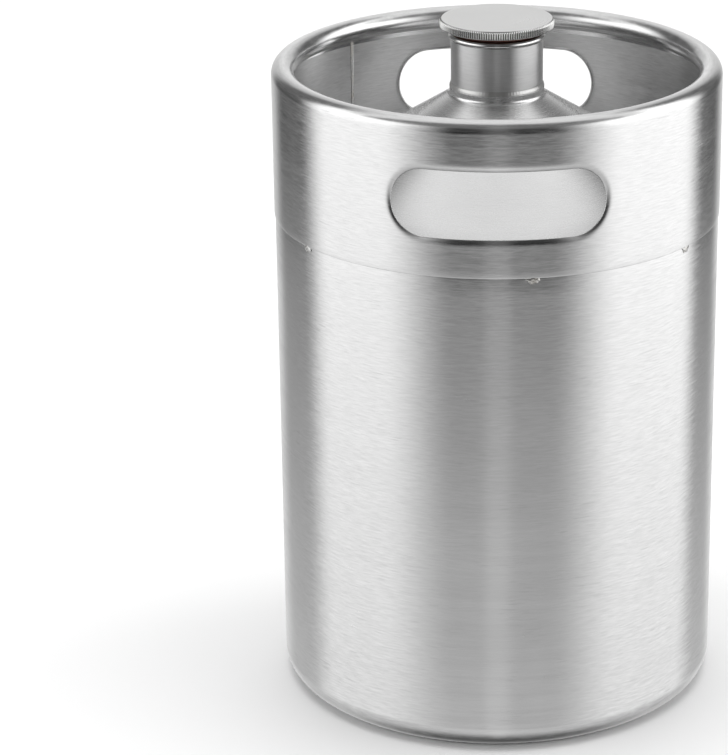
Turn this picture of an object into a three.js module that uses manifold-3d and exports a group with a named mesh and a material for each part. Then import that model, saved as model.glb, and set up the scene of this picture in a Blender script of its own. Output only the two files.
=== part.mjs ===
// Stainless steel mini keg: a welded single-wall vessel, a handle collar and a screw cap with its seal.
// Millimetres, +Z up. The origin is the centre of the standing ring, on the ground. The front is -Y.

import * as THREE from 'three';
import { ParametricGeometry } from 'three/addons/geometries/ParametricGeometry.js';
import { mergeVertices } from 'three/addons/utils/BufferGeometryUtils.js';
import Module from 'manifold-3d';

const wasm = await Module();
wasm.setup();

// ---- Driving dimensions ----

const SHEET = 0.9; // thickness of all pressed and rolled sheet
const GAP = 0.3; // clearance between pieces that touch

const BODY_R = 82.5; // outside of the vessel wall
const COLLAR_R = 82.9; // outside of the handle collar, slightly proud of the wall
const SEAM_Z = 185.3; // lower edge of the handle collar
const RIM_Z = 242.2; // top of the curled rim
const CURL_R = 4.2; // outside radius of the curled rim's section
const CURL_END = 250; // degrees that the curl turns through

const FOOT_R = 9; // corner radius at the foot of the wall
const FOOT_INNER_R = 67; // inner edge of the turned-in standing ring
const DISH_FLAT_R = 65; // where the bottom dish starts to rise
const DISH_CROWN = 8; // how far the bottom dish is domed up

const SKIRT_BOTTOM_Z = 177; // lower edge of the shoulder's skirt, inside the wall
const CONE_SLOPE = 31.6; // degrees below level
const CONE_APEX_Z = 240.7; // where the cone's outside would meet the axis
const KNUCKLE_R = 6; // bend between skirt and cone
const SPOUT_R = 17.5; // outside of the drawn spout round the neck
const SPOUT_TOP_Z = 232.6;
const SPOUT_FILLET_R = 2;

const NECK_R = 16.96; // outside of the neck tube
const NECK_BOTTOM_Z = 230; // lower end of the neck's spigot, inside the vessel
const LIP_TOP_Z = 252.6;
const LIP_BULGE_R = 1.25; // half height of the round lip
const LIP_OUTER_R = 17.94;
const MOUTH_CHAMFER = 0.8;

const HEAD_R = 21; // cap's knurled head
const HEAD_BOTTOM_Z = 254.5;
const HEAD_TOP_Z = 257.7;
const HEAD_TOP_CHAMFER = 0.7;
const HEAD_BOTTOM_CHAMFER = 0.5;
const KNURL_TEETH = 150;
const KNURL_DEPTH = 0.3;
const SHANK_R = 12.5; // root of the cap's thread
const SHANK_BORE_R = 10.3;
const SHANK_BOTTOM_Z = 240.5;
const SHANK_CHAMFER = 0.6;
const HEAD_FLOOR = 2.5; // solid metal below the head's underside, above the hollow shank
const SEAL_OUTER_R = 17.3;
const SEAL_INNER_R = 13;

const PITCH = 3; // right-hand thread of the cap and neck
const THREAD_DEPTH = 1.2;
const CREST_HALF_WIDTH = 0.4;
const FLANK = 0.367; // half width gained per millimetre of depth
const THREAD_START_Z = 242.2; // centre of the cap's thread at its lower end
const THREAD_TURNS = 2.75;
const GROOVE_FROM = -0.3; // turns before the cap's thread starts
const GROOVE_TO = 4.4; // runs out through the neck's mouth

const HOLD_HALF_LENGTH = 39.2; // handhold's clear opening, measured round the collar
const HOLD_HALF_HEIGHT = 12.2;
const HOLD_Z = 211.9;
const HOLD_BEND_R = 6; // outside radius of the pressed-in edge
const HOLD_BEND_ANGLE = 32; // degrees that the edge turns inward
const HOLD_AZIMUTHS = [0, 180];

// Azimuths are in degrees from the front, towards +X.
const TACK_AZIMUTHS = [-56, 8.4, 54.9, 120, 170.4, -120];
const TACK_R = 1.7;
const TACK_HEIGHT = 1;
const SEAM_WELD_AZIMUTH = -137.4;
const UPRIGHT_WELD_R = 1;
const UPRIGHT_WELD_END_GAP = 4; // from a bend to the bead's end
const WALL_WELD_AZIMUTH = 165;
const RING_WELD_R = 1.4;

const WALL_SEGMENTS = 60; // round the vessel, collar and shoulder
const NECK_SEGMENTS = 48;
const THREAD_STEPS = 24; // per turn
const BEND_STEPS = 3; // in each small bend of the sheet
const TACK_SEGMENTS = 10;
const DISH_STEPS = 5;
const HOLD_END_STEPS = 8; // round each end of a handhold
const HOLD_STRAIGHT_STEPS = 6; // along each straight side of a handhold
const CURL_STEPS = 6;

// ---- Materials ----

function steel(color, roughness) {
  return new THREE.MeshStandardMaterial({ color, roughness, metalness: 1 });
}

const makeBrushed = () => steel(0xc4c5c6, 0.35);
const makePolished = () => steel(0xd6d7d8, 0.15);
const makeWeld = () => steel(0xb4b2ae, 0.5);

function makeSealRubber() {
  return new THREE.MeshStandardMaterial({ color: 0x3a2620, roughness: 0.6, metalness: 0 });
}

// ---- Geometry helpers ----

const radians = THREE.MathUtils.degToRad;

// Points [r, z] on an arc of the section plane, with both ends.
function arc(r, z, radius, from, to, steps) {
  const points = [];
  for (let i = 0; i <= steps; i += 1) {
    const angle = radians(from + ((to - from) * i) / steps);
    points.push([r + radius * Math.cos(angle), z + radius * Math.sin(angle)]);
  }
  return points;
}

// Merges shared vertices and drops the triangles that collapse on the axis.
function weld(geometry) {
  geometry.deleteAttribute('normal');
  geometry.deleteAttribute('uv');
  const merged = mergeVertices(geometry, 1e-4);
  const index = merged.getIndex().array;
  const kept = [];
  for (let i = 0; i < index.length; i += 3) {
    const [a, b, c] = [index[i], index[i + 1], index[i + 2]];
    if (a !== b && b !== c && c !== a) {
      kept.push(a, b, c);
    }
  }
  merged.setIndex(kept);
  return merged;
}

// Moves every vertex by a function that returns its new [x, y, z].
function mapPoints(geometry, place) {
  const position = geometry.getAttribute('position');
  for (let i = 0; i < position.count; i += 1) {
    position.setXYZ(i, ...place(position.getX(i), position.getY(i), position.getZ(i)));
  }
  return geometry;
}

// Turns a counter-clockwise [r, z] outline round the Z axis. Outlines off the axis are closed here.
function revolve(outline, segments) {
  const points = outline.map(([r, z]) => new THREE.Vector2(r, z));
  const onAxis = outline[0][0] === 0;
  if (!onAxis) {
    points.push(points[0].clone());
  }
  const geometry = new THREE.LatheGeometry(points, segments);
  geometry.rotateX(Math.PI / 2);
  return weld(geometry);
}

function toManifold(geometry) {
  const mesh = new wasm.Mesh({
    numProp: 3,
    vertProperties: new Float32Array(geometry.getAttribute('position').array),
    triVerts: new Uint32Array(geometry.getIndex().array),
  });
  return new wasm.Manifold(mesh);
}

function fromManifold(manifold) {
  const mesh = manifold.getMesh();
  const geometry = new THREE.BufferGeometry();
  geometry.setAttribute('position', new THREE.BufferAttribute(mesh.vertProperties, 3));
  geometry.setIndex(new THREE.BufferAttribute(mesh.triVerts, 1));
  return geometry;
}

// ---- The part ----

const keg = new THREE.Group();

function addPiece(name, geometry, material) {
  geometry.computeVertexNormals();
  const mesh = new THREE.Mesh(geometry, material);
  mesh.name = name;
  keg.add(mesh);
  return mesh;
}

// A three-sided ring bead that fills the corner at [r, z], over the quarter turn from a direction.
function addRingBead(name, r, z, radius, from) {
  const outline = [[r, z], ...arc(r, z, radius, from, from + 90, 1)];
  return addPiece(name, revolve(outline, WALL_SEGMENTS), makeWeld());
}

// An upright half-round bead on the inside of a cylinder, at an azimuth, between two heights.
function addUprightBead(name, wallR, azimuth, fromZ, toZ) {
  const section = new THREE.Shape();
  section.absarc(0, 0, UPRIGHT_WELD_R, 0, Math.PI, false);
  const options = { depth: toZ - fromZ, bevelEnabled: false, curveSegments: 6 };
  const bead = addPiece(name, weld(new THREE.ExtrudeGeometry(section, options)), makeWeld());
  const baseR = wallR - GAP;
  const angle = radians(azimuth);
  bead.position.set(baseR * Math.sin(angle), -baseR * Math.cos(angle), fromZ);
  bead.rotation.z = angle;
  return bead;
}

// ---- Vessel ----

const WALL_TOP_Z = SEAM_Z - GAP;

function addBodyWall() {
  const cornerR = BODY_R - FOOT_R;
  const outline = [
    [FOOT_INNER_R, 0],
    ...arc(cornerR, FOOT_R, FOOT_R, -90, 0, BEND_STEPS),
    [BODY_R, WALL_TOP_Z],
    [BODY_R - SHEET, WALL_TOP_Z],
    ...arc(cornerR, FOOT_R, FOOT_R - SHEET, 0, -90, BEND_STEPS),
    [FOOT_INNER_R, SHEET],
  ];
  addPiece('body_wall', revolve(outline, WALL_SEGMENTS), makeBrushed());
}

// The dish lies on the turned-in foot and rises to its crown along a smooth wave.
function addBottomDish() {
  const edgeR = BODY_R - FOOT_R - GAP;
  const seatZ = SHEET + GAP;
  const riseAt = (r) => (DISH_CROWN * (1 + Math.cos((Math.PI * r) / DISH_FLAT_R))) / 2;
  const underside = [];
  for (let i = 0; i <= DISH_STEPS; i += 1) {
    const r = (DISH_FLAT_R * i) / DISH_STEPS;
    underside.push([r, seatZ + riseAt(r)]);
  }
  const topside = underside.map(([r, z]) => [r, z + SHEET]).reverse();
  const outline = [...underside, [edgeR, seatZ], [edgeR, seatZ + SHEET], ...topside];
  addPiece('bottom_dish', revolve(outline, WALL_SEGMENTS), makeBrushed());
}

const coneZ = (r) => CONE_APEX_Z - Math.tan(radians(CONE_SLOPE)) * r;
const CONE_NORMAL = 90 - CONE_SLOPE; // degrees from level to the cone's outward normal
const SKIRT_R = BODY_R - SHEET - GAP;

// Skirt inside the wall, knuckle, cone, and a spout drawn up round the neck.
function addTopShoulder() {
  const normalR = Math.cos(radians(CONE_NORMAL));
  const normalZ = Math.sin(radians(CONE_NORMAL));
  const knuckleR = SKIRT_R - KNUCKLE_R;
  const knuckleZ = coneZ(knuckleR + KNUCKLE_R * normalR) - KNUCKLE_R * normalZ;
  const filletR = SPOUT_R + SPOUT_FILLET_R;
  const filletZ = coneZ(filletR - SPOUT_FILLET_R * normalR) + SPOUT_FILLET_R * normalZ;
  const filletFrom = 180 + CONE_NORMAL;
  const outline = [
    [SKIRT_R, SKIRT_BOTTOM_Z],
    ...arc(knuckleR, knuckleZ, KNUCKLE_R, 0, CONE_NORMAL, BEND_STEPS),
    ...arc(filletR, filletZ, SPOUT_FILLET_R, filletFrom, 180, BEND_STEPS),
    [SPOUT_R, SPOUT_TOP_Z],
    [SPOUT_R - SHEET, SPOUT_TOP_Z],
    ...arc(filletR, filletZ, SPOUT_FILLET_R + SHEET, 180, filletFrom, BEND_STEPS),
    ...arc(knuckleR, knuckleZ, KNUCKLE_R - SHEET, CONE_NORMAL, 0, BEND_STEPS),
    [SKIRT_R - SHEET, SKIRT_BOTTOM_Z],
  ];
  addPiece('top_shoulder', revolve(outline, WALL_SEGMENTS), makeBrushed());
}

function addVesselWelds() {
  addRingBead('bottom_weld', FOOT_INNER_R - GAP, SHEET, SHEET - GAP, 180);
  addRingBead('shoulder_weld', SKIRT_R, SKIRT_BOTTOM_Z - GAP, RING_WELD_R, 180);
  addRingBead('neck_weld', NECK_R + GAP, SPOUT_TOP_Z + GAP, 2 * GAP, 0);
  const wallInnerR = BODY_R - SHEET;
  const weldBottomZ = FOOT_R + UPRIGHT_WELD_END_GAP;
  const weldTopZ = SKIRT_BOTTOM_Z - UPRIGHT_WELD_END_GAP;
  addUprightBead('wall_seam_weld', wallInnerR, WALL_WELD_AZIMUTH, weldBottomZ, weldTopZ);
}

// ---- Screw thread ----

// A trapezoid of the thread's section, wound round the axis between two turn counts.
function threadCoil(innerR, outerR, clearance, fromTurn, toTurn) {
  const crestR = SHANK_R + THREAD_DEPTH;
  const halfWidthAt = (r) => CREST_HALF_WIDTH + (crestR - r) * FLANK + clearance;
  const section = new THREE.Shape();
  section.moveTo(innerR, -halfWidthAt(innerR));
  section.lineTo(outerR, -halfWidthAt(outerR));
  section.lineTo(outerR, halfWidthAt(outerR));
  section.lineTo(innerR, halfWidthAt(innerR));
  section.closePath();
  const turns = toTurn - fromTurn;
  const steps = Math.ceil(turns * THREAD_STEPS);
  const straight = new THREE.ExtrudeGeometry(section, { depth: turns, steps, bevelEnabled: false });
  const wind = (r, rise, along) => {
    const turn = toTurn - along;
    const angle = 2 * Math.PI * turn;
    return [r * Math.cos(angle), r * Math.sin(angle), THREAD_START_Z + PITCH * turn + rise];
  };
  return toManifold(weld(mapPoints(straight, wind)));
}

// ---- Neck ----

function addNeckTube() {
  const boreR = SHANK_R + GAP;
  const spigotR = SPOUT_R - SHEET - GAP;
  const seatZ = SPOUT_TOP_Z + GAP;
  const bulgeR = LIP_OUTER_R - LIP_BULGE_R;
  const bulgeZ = LIP_TOP_Z - LIP_BULGE_R;
  const bulgeStart = -Math.round(THREE.MathUtils.radToDeg(Math.acos((NECK_R - bulgeR) / LIP_BULGE_R)));
  const outline = [
    [boreR, NECK_BOTTOM_Z],
    [spigotR, NECK_BOTTOM_Z],
    [spigotR, seatZ],
    [NECK_R, seatZ],
    ...arc(bulgeR, bulgeZ, LIP_BULGE_R, bulgeStart, 90, BEND_STEPS),
    [boreR + MOUTH_CHAMFER, LIP_TOP_Z],
    [boreR, LIP_TOP_Z - MOUTH_CHAMFER],
  ];
  const blank = toManifold(revolve(outline, NECK_SEGMENTS));
  const rootR = SHANK_R + THREAD_DEPTH + GAP;
  const groove = threadCoil(SHANK_R, rootR, GAP, GROOVE_FROM, GROOVE_TO);
  addPiece('neck_tube', fromManifold(blank.subtract(groove)), makePolished());
}

// ---- Screw cap ----

// Chamfered disc whose rim is cut by straight teeth: every second column of the band is set in.
function knurledHead() {
  const columns = 2 * KNURL_TEETH;
  const bandBottomZ = HEAD_BOTTOM_Z + HEAD_BOTTOM_CHAMFER;
  const bandTopZ = HEAD_TOP_Z - HEAD_TOP_CHAMFER;
  const outline = [
    [0, HEAD_BOTTOM_Z],
    [HEAD_R - HEAD_BOTTOM_CHAMFER, HEAD_BOTTOM_Z],
    [HEAD_R, bandBottomZ],
    [HEAD_R, bandTopZ],
    [HEAD_R - HEAD_TOP_CHAMFER, HEAD_TOP_Z],
    [0, HEAD_TOP_Z],
  ];
  const head = revolve(outline, columns);
  const nearlyFull = 0.99 * HEAD_R; // only the band lies outside this radius
  const setIn = (x, y, z) => {
    const isBand = Math.hypot(x, y) > nearlyFull;
    const column = Math.round((Math.atan2(y, x) * columns) / (2 * Math.PI));
    const scale = isBand && column % 2 !== 0 ? 1 - KNURL_DEPTH / HEAD_R : 1;
    return [x * scale, y * scale, z];
  };
  return toManifold(mapPoints(head, setIn));
}

function hollowShank() {
  const ceilingZ = HEAD_BOTTOM_Z - HEAD_FLOOR;
  const topZ = (HEAD_BOTTOM_Z + HEAD_TOP_Z) / 2; // reaches into the head
  const outline = [
    [0, ceilingZ],
    [SHANK_BORE_R, ceilingZ],
    [SHANK_BORE_R, SHANK_BOTTOM_Z],
    [SHANK_R - SHANK_CHAMFER, SHANK_BOTTOM_Z],
    [SHANK_R, SHANK_BOTTOM_Z + SHANK_CHAMFER],
    [SHANK_R, topZ],
    [0, topZ],
  ];
  return toManifold(revolve(outline, NECK_SEGMENTS));
}

function addScrewCap() {
  const ridge = threadCoil(SHANK_R - GAP, SHANK_R + THREAD_DEPTH, 0, 0, THREAD_TURNS);
  const cap = knurledHead().add(hollowShank()).add(ridge);
  addPiece('screw_cap', fromManifold(cap), makePolished());
}

function addCapSeal() {
  const bottomZ = LIP_TOP_Z + GAP;
  const topZ = HEAD_BOTTOM_Z - GAP;
  const edgeR = (topZ - bottomZ) / 2;
  const outline = [
    [SEAL_INNER_R, bottomZ],
    ...arc(SEAL_OUTER_R - edgeR, bottomZ + edgeR, edgeR, -90, 90, BEND_STEPS),
    [SEAL_INNER_R, topZ],
  ];
  addPiece('cap_seal', revolve(outline, NECK_SEGMENTS), makeSealRubber());
}

// ---- Handle collar ----

// A point round the collar: length along it, height, and depth inward from its outside.
function onCollar(along, z, depth) {
  const angle = along / COLLAR_R;
  const r = COLLAR_R - depth;
  return [r * Math.sin(angle), -r * Math.cos(angle), z];
}

// The handhold's outline, moved outward by an offset, as [along, height] points.
function holdOutline(offset) {
  const straight = HOLD_HALF_LENGTH - HOLD_HALF_HEIGHT;
  const points = [];
  for (const side of [1, -1]) {
    for (let i = 0; i < HOLD_END_STEPS; i += 1) {
      const angle = (Math.PI * i) / HOLD_END_STEPS - Math.PI / 2;
      const reach = HOLD_HALF_HEIGHT + offset;
      points.push([side * (straight + reach * Math.cos(angle)), side * reach * Math.sin(angle)]);
    }
    for (let i = 0; i < HOLD_STRAIGHT_STEPS; i += 1) {
      const along = side * straight * (1 - (2 * i) / HOLD_STRAIGHT_STEPS);
      points.push([along, side * (HOLD_HALF_HEIGHT + offset)]);
    }
  }
  return points;
}

const HOLD_BEND_WIDTH = HOLD_BEND_R * Math.sin(radians(HOLD_BEND_ANGLE));

// The block that is cut out of the collar for one handhold.
function holdCutter() {
  const reach = 12; // past both faces of the sheet
  const outline = holdOutline(HOLD_BEND_WIDTH).map(([along, height]) => new THREE.Vector2(along, height));
  const options = { depth: 2 * reach, bevelEnabled: false };
  const block = new THREE.ExtrudeGeometry(new THREE.Shape(outline), options);
  return toManifold(weld(mapPoints(block, (x, y, z) => onCollar(x, HOLD_Z + y, reach - z))));
}

// The sheet round one handhold, bent inward and ending in a cut edge.
function holdFlange() {
  const root = HOLD_BEND_WIDTH + SHEET / 2; // reaches into the collar's sheet
  const rootInset = SHEET / 6; // inside both faces of the collar's sheet
  const turned = 270 - HOLD_BEND_ANGLE;
  const bend = (radius, from, to) => arc(HOLD_BEND_WIDTH, HOLD_BEND_R, radius, from, to, BEND_STEPS);
  const section = [
    [root, rootInset],
    ...bend(HOLD_BEND_R, 270, turned),
    ...bend(HOLD_BEND_R - SHEET, turned, 270),
    [root, SHEET - rootInset],
  ];
  const rings = section.map(([offset, depth]) => ({ depth, points: holdOutline(offset) }));
  const columns = rings[0].points.length;
  const surface = (u, v, target) => {
    const ring = rings[Math.round(v * rings.length) % rings.length];
    const [along, height] = ring.points[Math.round(u * columns) % columns];
    target.set(...onCollar(along, HOLD_Z + height, ring.depth));
  };
  return toManifold(weld(new ParametricGeometry(surface, columns, rings.length)));
}

function addHandleCollar() {
  const curlR = COLLAR_R - CURL_R;
  const curlZ = RIM_Z - CURL_R;
  const outline = [
    [COLLAR_R, SEAM_Z],
    ...arc(curlR, curlZ, CURL_R, 0, CURL_END, CURL_STEPS),
    ...arc(curlR, curlZ, CURL_R - SHEET, CURL_END, 0, CURL_STEPS),
    [COLLAR_R - SHEET, SEAM_Z],
  ];
  let collar = toManifold(revolve(outline, WALL_SEGMENTS));
  for (const azimuth of HOLD_AZIMUTHS) {
    const turn = [0, 0, azimuth];
    collar = collar.subtract(holdCutter().rotate(turn)).add(holdFlange().rotate(turn));
  }
  addPiece('handle_collar', fromManifold(collar), makeBrushed());
}

// Small domes that fix the collar's lower edge to the wall.
function addTackWelds() {
  const baseR = COLLAR_R + GAP;
  TACK_AZIMUTHS.forEach((azimuth, i) => {
    const side = arc(0, 0, 1, 0, 90, BEND_STEPS).map(([r, z]) => [r * TACK_R, z * TACK_HEIGHT]);
    const outline = [[0, 0], ...side.slice(0, -1), [0, TACK_HEIGHT]];
    const tack = addPiece(`tack_weld_${i + 1}`, revolve(outline, TACK_SEGMENTS), makeWeld());
    const angle = radians(azimuth);
    tack.position.set(baseR * Math.sin(angle), -baseR * Math.cos(angle), SEAM_Z - TACK_R / 2);
    tack.rotation.set(Math.PI / 2, 0, angle, 'ZXY');
  });
}

function addCollarSeamWeld() {
  const bottomZ = coneZ(SKIRT_R) + UPRIGHT_WELD_END_GAP;
  const topZ = RIM_Z - 2 * CURL_R - GAP;
  addUprightBead('collar_seam_weld', COLLAR_R - SHEET, SEAM_WELD_AZIMUTH, bottomZ, topZ);
}

addBodyWall();
addBottomDish();
addTopShoulder();
addVesselWelds();
addNeckTube();
addHandleCollar();
addCollarSeamWeld();
addTackWelds();
addCapSeal();
addScrewCap();

export default keg;
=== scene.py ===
"""Looks of the mini keg around its CAD frame: fine meshes, materials, floor, light and camera.

Metres, +Z up. The origin is the centre of the standing ring, and the front handhold faces -Y.
Azimuths are angles round the keg, from the front (-Y) towards +X.
"""

import math

import bmesh
import bpy
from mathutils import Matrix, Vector, noise


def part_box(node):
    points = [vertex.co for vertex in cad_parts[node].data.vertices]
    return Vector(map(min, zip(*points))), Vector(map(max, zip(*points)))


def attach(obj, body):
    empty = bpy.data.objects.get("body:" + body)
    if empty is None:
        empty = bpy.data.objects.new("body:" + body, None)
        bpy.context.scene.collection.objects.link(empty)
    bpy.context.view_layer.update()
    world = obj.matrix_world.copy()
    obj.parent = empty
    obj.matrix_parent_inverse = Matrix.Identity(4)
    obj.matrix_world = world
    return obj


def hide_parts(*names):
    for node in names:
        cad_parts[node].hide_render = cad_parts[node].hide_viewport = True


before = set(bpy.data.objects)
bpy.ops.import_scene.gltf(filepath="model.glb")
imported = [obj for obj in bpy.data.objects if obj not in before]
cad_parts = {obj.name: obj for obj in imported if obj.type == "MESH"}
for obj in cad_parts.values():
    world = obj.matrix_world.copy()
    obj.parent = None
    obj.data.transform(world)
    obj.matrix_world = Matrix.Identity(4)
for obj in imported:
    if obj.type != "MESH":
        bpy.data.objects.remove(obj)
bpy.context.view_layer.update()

MM = 0.001

# ---- Sizes taken from the frame ----

WALL_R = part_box("body_wall")[1].x
COLLAR_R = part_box("handle_collar")[1].x
SEAM_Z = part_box("handle_collar")[0].z
RIM_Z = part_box("handle_collar")[1].z
SKIRT_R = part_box("top_shoulder")[1].x
SKIRT_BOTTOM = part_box("top_shoulder")[0].z
SPOUT_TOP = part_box("top_shoulder")[1].z
DISH_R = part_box("bottom_dish")[1].x
DISH_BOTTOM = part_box("bottom_dish")[0].z
DISH_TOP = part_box("bottom_dish")[1].z
LIP_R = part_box("neck_tube")[1].x
LIP_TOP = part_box("neck_tube")[1].z
NECK_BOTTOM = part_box("neck_tube")[0].z
HEAD_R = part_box("screw_cap")[1].x
HEAD_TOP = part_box("screw_cap")[1].z
PLUG_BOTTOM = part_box("screw_cap")[0].z
SEAL_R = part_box("cap_seal")[1].x
SEAL_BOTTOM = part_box("cap_seal")[0].z
SEAL_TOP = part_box("cap_seal")[1].z

# ---- The part's own sizes, as in its CAD source ----

SHEET = 0.9 * MM
GAP = 0.3 * MM
FOOT_BEND = 9 * MM
FOOT_INNER_R = 67 * MM
DISH_FLAT_R = 65 * MM
CONE_SLOPE = math.radians(31.6)
CONE_APEX = 240.7 * MM  # height at which the cone's outside would reach the axis
KNUCKLE = 6 * MM  # bend between the shoulder's skirt and its cone
SPOUT_R = 17.5 * MM
SPOUT_FILLET = 2 * MM
CURL_R = 4.2 * MM
CURL_END = 250  # degrees round the rim's curl, from straight out
HOLD_HALF_LENGTH = 39.2 * MM
HOLD_HALF_HEIGHT = 12.2 * MM
HOLD_Z = 211.9 * MM
HOLD_BEND = 6 * MM
HOLD_TURN = math.radians(32)  # how far the sheet round a handhold is bent inward
HOLD_WIDTH = HOLD_BEND * math.sin(HOLD_TURN)
NECK_R = 16.96 * MM
LIP_BULGE = 1.25 * MM
MOUTH_CHAMFER = 0.8 * MM
SHANK_R = 12.5 * MM
BORE_R = SHANK_R + GAP  # of the neck, at the crests of its thread
MOUTH_R = BORE_R + MOUTH_CHAMFER
SHANK_BORE_R = 10.3 * MM
SHANK_CHAMFER = 0.6 * MM
HEAD_BOTTOM = SEAL_TOP + GAP
HEAD_FLOOR = 2.5 * MM
HEAD_TOP_CHAMFER = 0.7 * MM
HEAD_BOTTOM_CHAMFER = 0.5 * MM
KNURL_TEETH = 150
KNURL_DEPTH = 0.3 * MM
SEAL_INNER_R = 13 * MM
PITCH = 3 * MM
THREAD_DEPTH = 1.2 * MM
CREST_HALF_WIDTH = 0.4 * MM
FLANK = 0.367  # how far a flank of the thread runs along Z for each unit of its height
THREAD_START = 242.2 * MM  # height of the lower end of the cap's thread
THREAD_TURNS = 2.75
GROOVE_FROM = -0.3  # turns from there to the lower end of the neck's groove
COLLAR_WELD_AZIMUTH = math.radians(-137.4)
WALL_WELD_AZIMUTH = math.radians(165)
TACK_COUNT = 6

# ---- Finer shapes that only the looks have ----

UPRIGHT_WELD_R = 0.8 * MM
HOLD_CURVE = 3.3  # power of the bend's outline
HOLD_DEPTH = HOLD_WIDTH * math.tan(HOLD_TURN) / HOLD_CURVE
WALL_DRAW = 0.07 * MM  # how far the wall's top is drawn in under the collar
WALL_DRAW_REACH = 7 * MM
LIP_DRAW = 0.04 * MM  # how far the collar's lower edge is drawn in
LIP_DRAW_REACH = 2.2 * MM

# ---- Fineness of the meshes ----

ROUND_STEPS = 240  # round the vessel and collar
NECK_STEPS = 144
BEND_DEGREES = 9  # largest step round a bend
EDGE = 0.12 * MM  # smallest rounding of a sheared or turned edge
SUPPORT = 0.4 * MM  # distance of the extra points that keep long faces flat beside a bend
MERGE = 0.001 * MM  # points closer than this are one
NO_LENGTH = 0.0001 * MM  # edges shorter than this are dropped
SHARP = math.radians(38)  # edges that turn more than this are shaded sharp


# ---- Outlines ----

def rounded(corners):
    """Closed [r, z] outline from (r, z, radius) corners, each bent round with its own radius."""
    points = []
    for i, (r, z, radius) in enumerate(corners):
        here = Vector((r, z))
        before = Vector(corners[i - 1][:2])
        after = Vector(corners[(i + 1) % len(corners)][:2])
        if radius == 0:
            points.append(here)
            continue
        to_before = (before - here).normalized()
        to_after = (after - here).normalized()
        half = to_before.angle(to_after) / 2
        centre = here + (to_before + to_after).normalized() * (radius / math.sin(half))
        start = here + to_before * (radius / math.tan(half)) - centre
        end = here + to_after * (radius / math.tan(half)) - centre
        turn = math.copysign(math.pi - 2 * half, start.x * end.y - start.y * end.x)
        steps = max(2, math.ceil(abs(math.degrees(turn)) / BEND_DEGREES))
        for k in range(steps + 1):
            angle = turn * k / steps
            spun_x = start.x * math.cos(angle) - start.y * math.sin(angle)
            spun_y = start.x * math.sin(angle) + start.y * math.cos(angle)
            points.append(centre + Vector((spun_x, spun_y)))
    return points


def supported(points):
    """The same outline with extra points near both ends and at the quarters of each long stretch."""
    result = []
    for i, point in enumerate(points):
        result.append(point)
        following = points[(i + 1) % len(points)]
        both_on_axis = point.x == 0 and following.x == 0
        length = (following - point).length
        if length > 6 * SUPPORT and not both_on_axis:
            for share in (SUPPORT / length, 0.25, 0.5, 0.75, 1 - SUPPORT / length):
                result.append(point.lerp(following, share))
    return result


def arc(r, z, radius, start, end, steps):
    """Points of an arc in the [r, z] plane, with both ends; angles in degrees."""
    points = []
    for i in range(steps + 1):
        angle = math.radians(start + (end - start) * i / steps)
        points.append(Vector((r + radius * math.cos(angle), z + radius * math.sin(angle))))
    return points


# ---- Meshes ----

def around(azimuth, r, z):
    """The point at an azimuth, a radius and a height."""
    return (r * math.sin(azimuth), -r * math.cos(azimuth), z)


def tube_faces(rings, count):
    """Faces between neighbouring closed rings of count points each."""
    faces = []
    for i in range(rings - 1):
        here = i * count
        above = here + count
        for k in range(count):
            beside = (k + 1) % count
            faces.append((here + k, here + beside, above + beside, above + k))
    return faces


def solid(name, vertices, faces):
    """A smooth-shaded mesh object whose faces point out and whose doubled points are merged."""
    mesh = bpy.data.meshes.new(name)
    mesh.from_pydata(vertices, [], faces)
    edit = bmesh.new()
    edit.from_mesh(mesh)
    bmesh.ops.remove_doubles(edit, verts=edit.verts, dist=MERGE)
    bmesh.ops.dissolve_degenerate(edit, edges=edit.edges, dist=NO_LENGTH)
    bmesh.ops.recalc_face_normals(edit, faces=edit.faces)
    edit.to_mesh(mesh)
    edit.free()
    mesh.shade_smooth()
    mesh.set_sharp_from_angle(angle=SHARP)
    piece = bpy.data.objects.new(name, mesh)
    bpy.context.scene.collection.objects.link(piece)
    return piece


def lathe_data(outline, steps, shape=None):
    """Vertices and faces of a closed outline turned round Z. shape(angle, r, z) may move each point."""
    vertices = []
    faces = []
    rows = len(outline)
    on_axis = outline[0].x == 0 and outline[-1].x == 0
    for i in range(steps):
        angle = 2 * math.pi * i / steps
        for point in outline:
            r, z = shape(angle, point.x, point.y) if shape else (point.x, point.y)
            vertices.append(around(angle, r, z))
    for i in range(steps):
        here = i * rows
        beside = ((i + 1) % steps) * rows
        for j in range(rows - 1 if on_axis else rows):
            above = (j + 1) % rows
            faces.append((here + j, here + above, beside + above, beside + j))
    return vertices, faces


def lathe(name, outline, steps, shape=None):
    return solid(name, *lathe_data(outline, steps, shape))


def joined(name, *parts):
    """One object from several (vertices, faces) shells."""
    vertices = []
    faces = []
    for part_vertices, part_faces in parts:
        first = len(vertices)
        vertices.extend(part_vertices)
        faces.extend(tuple(first + i for i in face) for face in part_faces)
    return solid(name, vertices, faces)


def place(piece, body, material, slot, *nodes):
    """Gives a piece its material, its body and the CAD nodes that it stands for."""
    piece.data.materials.clear()
    piece.data.materials.append(material)
    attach(piece, body)
    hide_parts(*nodes)


# ---- Materials ----

# Scales of the marks that run round the axis, as (along them, across them), per metre.
SCRATCH_SCALES = (190, 1800)
DRAG_SCALES = (9, 420)
NICK_SCALES = (150, 2000)
RUB_SCALES = (80, 1800)

# The knurled band whose groove bottoms are darkened with painted shade: low z, high z, outer radius and
# groove depth.
KNURL_BAND = (HEAD_BOTTOM + 0.3 * MM, HEAD_TOP - 0.35 * MM, HEAD_R, KNURL_DEPTH)


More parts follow.
